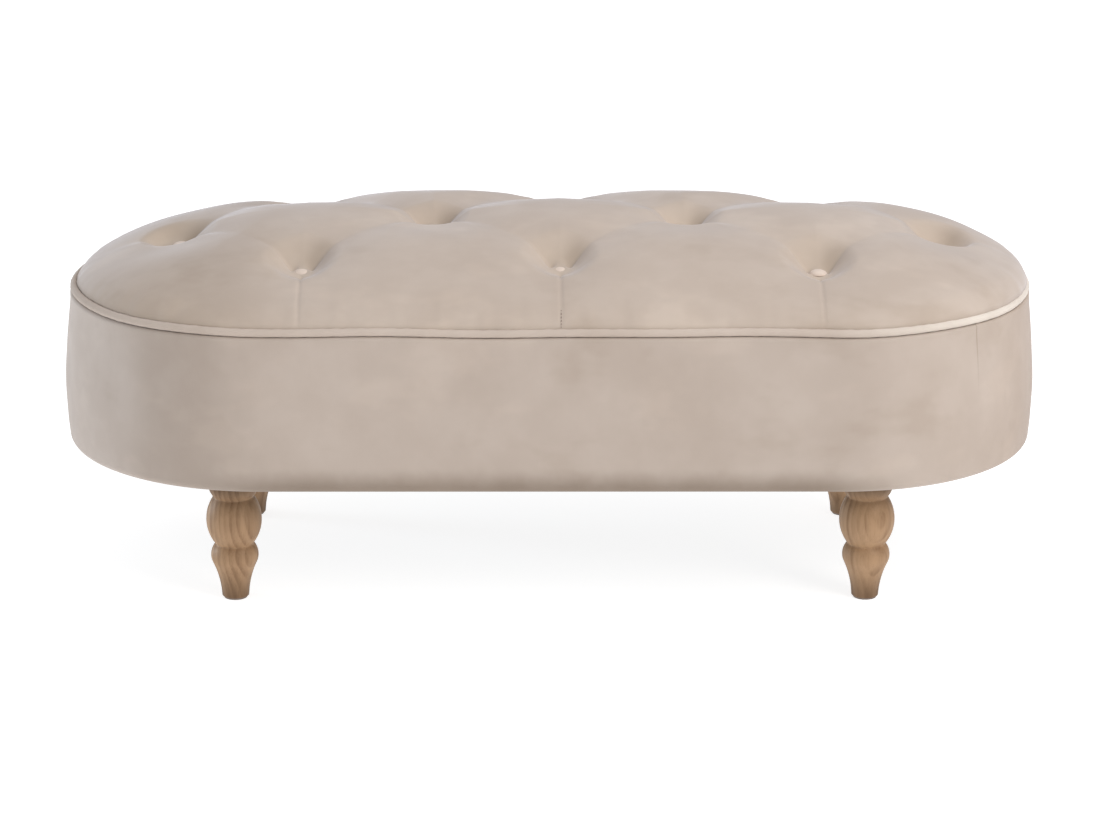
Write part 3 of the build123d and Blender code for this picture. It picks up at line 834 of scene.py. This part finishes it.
class STOOL_OT_cushion(Footstool, bpy.types.Operator):
    """Make the buttoned velvet cushion"""

    bl_idname = "stool.cushion"
    bl_label = "Buttoned cushion"

    def execute(self, context):
        """Lay the tufted height over the oval, swell it, press the creases in and push the side outwards."""
        sizes = context.scene.stool_cushion
        walk = oval_walk(run_step=0.002, end_steps=240)
        phase = full_turn(len(walk[0]))
        share = np.linspace(0, 1, SEAT_STEPS)
        out = np.broadcast_to(SEAT_EDGE * share, (len(walk[0]), len(share))).copy()
        plan = carry(walk, out, 0.0)
        height = tufted_height(plan[..., 0], plan[..., 1], sizes)
        points = carry(walk, out, np.maximum(height, 0) + SEAT_LOW.z)
        free = smooth(SEAT_EDGE - out, *SEAM_HOLD)
        free = np.minimum(free, smooth(button_distance(plan[..., 0], plan[..., 1]), *BUTTON_HOLD))
        held = 1 - free
        along, across = 4, 2
        coarse = np.s_[::along, ::across]
        moved = swell(points[coarse], held[coarse], sizes.pressure, sizes.swell_cap)
        lively = liveliness(plan[..., 1:2], sizes)
        points = points + lively * finer(finer(moved, across, 1), along, 0, closed=True)
        points[..., 2] -= sharp_creases(plan[..., 0], plan[..., 1], sizes)
        rise = points[..., 2] - SEAT_LOW.z
        side = sizes.bulge * smooth(rise, *BULGE_FOOT) * (1 - smooth(rise, *BULGE_TOP))
        side = side * (1 - TIP_LACK * smooth(-plan[..., 0], *LEFT_TIP))
        pucker = ripple(4, phase, (61, 83, 97, 140)) * (1 - smooth(SEAT_EDGE - out, *PUCKER_ENDS))
        side = side + PUCKER * pucker * smooth(SEAT_EDGE - out, *CREASE_EDGE)
        points[..., 0] += walk[1][:, None] * side
        points[..., 1] += walk[2][:, None] * side
        points[..., 2] = np.maximum(points[..., 2], SEAT_LOW.z)
        under = np.broadcast_to(SEAT_EDGE * np.linspace(1, 0, 5)[1:], (len(walk[0]), 4))
        points = np.concatenate([points, carry(walk, under, SEAT_LOW.z)], 1)
        piece = grid_piece("tufted_cushion", points, along=True)
        places = np.array([vertex.co for vertex in piece.data.vertices])
        # Painted highlight in each button's funnel, centred a little to its left
        tuft = 1 - smooth(button_distance(places[:, 0] + HIGHLIGHT_LEFT, places[:, 1]), *HIGHLIGHT_ENDS)
        # Painted shade in a streak to each button's right and rear
        turned = turned_nap(places[:, 0], places[:, 1])
        for attribute, values in (("tuft", tuft), ("turned_nap", turned)):
            piece.data.attributes.new(attribute, "FLOAT", "POINT").data.foreach_set("value", values)
        # Painted shade on the cushion's left end, away from the key light
        shaded_end = (-0.26, -0.46, (0.87, 0.845, 0.805))
        nap = velvet(
            "velvet_cushion", lift=(0.995, 0.985, 0.965), sheen=0.52, painted_light_and_shade=[shaded_end],
            painted_light_attributes=("tuft", "turned_nap"),
        )
        dress(piece, "velvet", nap, "seat_cover", "seat_foam")
        self.stitch(walk, points)
        return {"FINISHED"}

    def stitch(self, walk, points):
        """A thread along the foot of the middle front pleat, dipping in and out of the velvet."""
        x, _, ny = walk
        column = np.argmin(np.abs(x - TUFT_SHIFT) + np.abs(ny + 1))
        line = points[column, SEAT_STEPS - 1::-1]
        heights = np.linspace(STITCH_LOW, STITCH_HIGH, 130)
        y = np.interp(heights, line[:, 2] - SEAT_LOW.z, line[:, 1])
        dip = STITCH_DIP * np.cos(2 * math.pi * (heights - STITCH_LOW) / STITCH_LONG)
        angle = full_turn(8).T
        tube = np.stack([
            TUFT_SHIFT + THREAD * np.cos(angle) + 0 * heights[:, None],
            (y - dip)[:, None] + THREAD * np.sin(angle),
            SEAT_LOW.z + heights[:, None] + 0 * angle,
        ], 2)
        ends = [np.broadcast_to(tube[end].mean(0), (1, 8, 3)) for end in (0, -1)]
        thread = grid_piece("pleat_stitches", np.concatenate([ends[0], tube, ends[1]]), around=True)
        # The thread's dark colour is its own and also painted shade of the stitch holes that it dips into
        dress(thread, "cotton_cord", plain_finish("thread", (0.24, 0.19, 0.16)))


class STOOL_OT_buttons(Footstool, bpy.types.Operator):
    """Make the velvet covered buttons"""

    bl_idname = "stool.buttons"
    bl_label = "Covered buttons"

    def execute(self, context):
        """Turn a dome of sine and cosine powers, and a cone under it, round each button; the rim is wavy."""
        material = velvet("velvet_button", lift=(1.38, 1.38, 1.38))
        for name, place in BUTTON_PLACES.items():
            low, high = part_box(name)
            radius = (high.x - low.x) / 2
            dome = np.linspace(0, math.pi / 2, 14)
            under = np.linspace(0, 1, 8)[1:]
            out = np.concatenate([radius * np.sin(dome) ** 0.9, radius * (1 - 0.5 * under)])
            drop = np.concatenate([DOME * (1 - np.cos(dome) ** 1.2), DOME + SKIRT * under])
            angle = full_turn(48)
            gather = 1 + GATHER_DEPTH * np.sin(GATHERS * angle + place.x * 40) * (out / radius) ** 3
            points = turned_surface(place, out * gather, high.z - drop, angle)
            piece = grid_piece(name.replace("button_", "covered_button_"), points, along=True)
            dress(piece, "button_velvet", material, name)
        return {"FINISHED"}


class STOOL_OT_piping(Footstool, bpy.types.Operator):
    """Make the piping round the cushion's edge"""

    bl_idname = "stool.piping"
    bl_label = "Piping"

    def execute(self, context):
        """Carry a circle round the oval: its radius ripples, and its middle sways with the seam."""
        sizes = context.scene.stool_border
        walk = oval_walk(run_step=0.004, end_steps=175)
        phase = full_turn(len(walk[0]))
        middle = middle_of("piping_cord")
        outer_radius = PIPING_HIGH.z - middle.z
        radius = PIPING_TIGHT * outer_radius
        centre_out = PIPING_HIGH.y - outer_radius
        angle = full_turn(28).T
        tube = radius + PIPING_RIPPLE * ripple(9, phase + 0.3 * angle, (90, 131, 173, 211))
        sway = seam_sway(phase, sizes)
        out = centre_out + tube * np.cos(angle) + 0 * phase
        height = middle.z + sway + tube * np.sin(angle)
        piece = grid_piece("piping_roll", carry(walk, out, height), around=True, along=True)
        # Painted highlight on the piping towards its right end, and painted shade at its left end
        painted_light_end = (0.28, 0.48, (1.27, 1.36, 1.40))
        shaded_end = (-0.45, -0.53, (0.86, 0.84, 0.81))
        nap = velvet("velvet_piping", lift=(1.06, 1.06, 1.06), contrast=0.3, painted_light_and_shade=[painted_light_end, shaded_end])
        dress(piece, "piping_velvet", nap, "piping_cover", "piping_cord")
        return {"FINISHED"}


class STOOL_OT_border(Footstool, bpy.types.Operator):
    """Make the padded border"""

    bl_idname = "stool.border"
    bl_label = "Padded border"

    def execute(self, context):
        """Carry a closed profile round the oval: hem, bottom roll, bellied wall and lip, and back inside."""
        sizes = context.scene.stool_border
        walk = oval_walk(run_step=0.005, end_steps=140)
        phase = full_turn(len(walk[0]))
        low, high = BORDER_LOW.z, BORDER_HIGH.z + sizes.top_tuck
        roll = sizes.bottom_roll
        rise = np.linspace(0, 1, 60)
        wall_z = low + roll + (high - low - roll - LIP_TURN) * rise
        # Each form of the wall runs out over a share of its height
        bottom_in = sizes.bottom_inset * (1 - smooth(rise, 0, 0.5))
        top_in = sizes.top_inset * smooth(rise, 0.55, 1) ** 2
        belly = sizes.belly * smooth(rise, -0.25, 0.15) * (1 - smooth(rise, 0.3, 0.8))
        wall_out = HALF_DEPTH - bottom_in - top_in + belly
        turn = np.linspace(-math.pi / 2, 0, 9)[:-1]
        roll_out = wall_out[0] - roll + roll * np.cos(turn)
        roll_z = low + roll + roll * np.sin(turn)
        hem_out = HALF_DEPTH - np.array(HEM_INSETS)
        lip_out = np.array([wall_out[-1] - LIP_TURN, HALF_DEPTH - LIP_INSET])
        out = np.concatenate([hem_out, roll_out, wall_out, lip_out])
        height = np.concatenate([[low, low], roll_z, wall_z, [high, high]])
        inner_out = np.concatenate([[lip_out[1]], wall_out[::-8] - CLOTH, [hem_out[0]]])
        inner_z = np.concatenate([[high - CLOTH], wall_z[::-8] - CLOTH * 1.5, [low + CLOTH]])
        out = np.concatenate([out, inner_out])[None, :] + 0 * phase
        height = np.concatenate([height, inner_z])[None, :] + 0 * phase
        level = (height - low) / (high - low)
        height = height + seam_sway(phase, sizes) * smooth(level, 0.6, 1.0)
        slack = ripple(7, phase + 0.25 * level, (3, 5, 9, 14, 23)) * SLACK
        out = out + slack * np.sin(math.pi * np.clip(level, 0, 1))
        piece = grid_piece("padded_border", carry(walk, out, height), around=True, along=True)
        # Painted highlight on the border's left end, painted shade at its front left and at its right end
        painted_light_end = (-0.435, -0.475, (1.10, 1.12, 1.14))
        shaded_end = (-0.24, -0.43, (0.93, 0.93, 0.93))
        painted_shade_right_end = (0.46, 0.54, (0.95, 0.925, 0.90))
        nap = velvet(
            "velvet_border", lift=(0.96, 0.96, 0.965), sheen=0.14, contrast=0.8,
            painted_light_and_shade=[shaded_end, painted_light_end, painted_shade_right_end], hem=BORDER_LOW.z + HEM_SHADE, seam=SEAM_TURN,
        )
        dress(piece, "velvet", nap, "side_cover", "side_padding")
        return {"FINISHED"}


class STOOL_OT_legs(Footstool, bpy.types.Operator):
    """Turn the four wooden legs"""

    bl_idname = "stool.legs"
    bl_label = "Turned legs"

    @staticmethod
    def arc(start, middle, end, steps):
        """Points of the circle through three points, from the first towards the last."""
        (ax, ay), (bx, by), (cx, cy) = start, middle, end
        area = 2 * (ax * (by - cy) + bx * (cy - ay) + cx * (ay - by))
        squares = ax ** 2 + ay ** 2, bx ** 2 + by ** 2, cx ** 2 + cy ** 2
        ux = np.dot(squares, (by - cy, cy - ay, ay - by)) / area
        uy = np.dot(squares, (cx - bx, ax - cx, bx - ax)) / area
        angles = np.unwrap([math.atan2(py - uy, px - ux) for px, py in (start, middle, end)])
        sweep = np.linspace(angles[0], angles[2], steps)
        radius = math.hypot(ax - ux, ay - uy)
        return np.stack([ux + radius * np.cos(sweep), uy + radius * np.sin(sweep)], 1)

    def profile(self, sizes, low, high):
        """Half outline of the leg, foot first: flared foot, bulb, ball and collar, all arcs."""
        foot, bulb = (sizes.foot, low), (sizes.bulb, sizes.bulb_height)
        neck, ball = (sizes.neck, sizes.neck_height), (sizes.ball, sizes.ball_height)
        collar = (sizes.collar, sizes.collar_height)
        edge = [(sizes.foot + outwards, low + up) for outwards, up in FOOT_EDGE]
        parts = [
            np.array([(0.0, low), (sizes.foot - SOLE_INSET, low)]),
            self.arc(*edge, 4),
            self.arc(foot, FOOT_HOLLOW, BULB_START, 18)[2:],
            self.arc(BULB_START, bulb, neck, 20)[1:],
            self.arc(neck, ball, COLLAR_NECK, 40)[1:],
            self.arc(COLLAR_NECK, COLLAR_SWELL, collar, 12)[1:],
            np.array([(sizes.collar, high), (0.0, high)]),
        ]
        return np.concatenate(parts)

    def execute(self, context):
        """Turn the half outline round each leg's axis."""
        sizes = context.scene.stool_leg
        angle = full_turn(72)
        for number, name in enumerate(LEG_NODES):
            low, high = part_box(name)
            centre = middle_of(name)
            line = self.profile(sizes, low.z, high.z)
            points = turned_surface(centre, line[:, 0] + 0 * angle, line[:, 1], angle)
            piece = grid_piece(name.replace("leg_", "turned_leg_"), points, along=True)
            wood = turned_wood(f"wood_{name}", centre, HEART_TURN * (number + 1))
            dress(piece, "turned_wood", wood, name)
        return {"FINISHED"}


class STOOL_OT_carcass(Footstool, bpy.types.Operator):
    """Finish the frame, fixings and cloth that stay as built"""

    bl_idname = "stool.carcass"
    bl_label = "Frame and underside"

    def execute(self, context):
        record = frame["record"]
        slots = {part["node"]: part["material_slot"] for part in record["subparts"]}
        looks = {m["slot"]: m for m in record["materials"]}
        made = {}
        for name, node in frame["nodes"].items():
            if node.hide_render:
                continue
            slot = slots[name]
            if slot not in made:
                look = looks[slot]
                metal = 1.0 if look["class"] == "brushed_steel" else 0.0
                made[slot] = plain_finish(slot, look["base_color"][:3], 0.35 if metal else 0.75, metal)
            node.data.materials.clear()
            node.data.materials.append(made[slot])
        return {"FINISHED"}


class STOOL_OT_stage(Footstool, bpy.types.Operator):
    """Lay the floor, set the lights and stand the camera"""

    bl_idname = "stool.stage"
    bl_label = "Floor, lights and camera"

    def area_light(self, name, place, aim, size, power, colour):
        """A soft square light that faces a point."""
        lamp = bpy.data.lights.new(name, "AREA")
        lamp.shape = "SQUARE"
        lamp.size = size
        lamp.energy = power
        lamp.color = colour
        light = bpy.data.objects.new(name, lamp)
        light.location = place
        light.rotation_euler = (Vector(aim) - Vector(place)).to_track_quat("-Z", "Y").to_euler()
        bpy.context.scene.collection.objects.link(light)

    def execute(self, context):
        scene = context.scene
        sizes = scene.stool_stage
        side = sizes.floor / 2
        corners = np.array([[(x, y, 0) for y in (-side, side)] for x in (-side, side)], float)
        floor = grid_piece("floor", corners)
        paint = Paint(
            "floor_white", Roughness=0.9, Specular_IOR_Level=0.05, Emission_Color=(1, 1, 1, 1),
            Emission_Strength=sizes.glow,
        )
        wash = paint.noise(0.6, 1.0, 0.5)
        floor.data.materials.append(
            paint.feed(Base_Color=paint.mix(wash * 0.04, (0.5, 0.5, 0.5), (0.49, 0.49, 0.49)))
        )
        world = bpy.data.worlds.new("studio")
        world.use_nodes = True
        background = world.node_tree.nodes["Background"]
        background.inputs["Color"].default_value = (0.97, 0.98, 1.0, 1)
        background.inputs["Strength"].default_value = sizes.sky
        scene.world = world
        for light in LIGHTS:
            self.area_light(*light)
        scene.view_settings.view_transform = "Standard"
        camera = bpy.data.objects.new("camera", bpy.data.cameras.new("camera"))
        camera.data.lens = sizes.lens
        camera.data.sensor_width = 36.0
        camera.data.clip_end = 200.0
        stand = Matrix.Translation((sizes.aside, -sizes.distance, sizes.height))
        stand = Matrix.Rotation(-sizes.turn, 4, "Z") @ stand
        aim = Matrix.Rotation(math.pi / 2 - sizes.pitch, 4, "X") @ Matrix.Rotation(sizes.tilt, 4, "Z")
        camera.matrix_world = stand @ aim
        scene.collection.objects.link(camera)
        scene.camera = camera
        return {"FINISHED"}


OPERATORS = (
    STOOL_OT_cushion, STOOL_OT_buttons, STOOL_OT_piping, STOOL_OT_border, STOOL_OT_legs, STOOL_OT_carcass,
    STOOL_OT_stage,
)


class STOOL_PT_panel(bpy.types.Panel):
    """The stool's pieces in the sidebar"""

    bl_idname = "STOOL_PT_panel"
    bl_label = "Footstool"
    bl_space_type = "VIEW_3D"
    bl_region_type = "UI"
    bl_category = "Footstool"

    def draw(self, context):
        for operator in OPERATORS:
            self.layout.operator(operator.bl_idname)
        for name, group in GROUPS.items():
            box = self.layout.box()
            for prop in group.__annotations__:
                box.prop(getattr(context.scene, name), prop)


def register():
    """Register the groups, the operators and the panel."""
    for name, group in GROUPS.items():
        bpy.utils.register_class(group)
        setattr(bpy.types.Scene, name, bpy.props.PointerProperty(type=group))
    for item in (*OPERATORS, STOOL_PT_panel):
        bpy.utils.register_class(item)


def unregister():
    """Undo register, last first."""
    for item in (STOOL_PT_panel, *reversed(OPERATORS)):
        bpy.utils.unregister_class(item)
    for name, group in reversed(GROUPS.items()):
        delattr(bpy.types.Scene, name)
        bpy.utils.unregister_class(group)


def main():
    """Make every piece in order."""
    register()
    for operator in OPERATORS:
        group, call = operator.bl_idname.split(".")
        getattr(getattr(bpy.ops, group), call)()


if __name__ == "__main__":
    main()
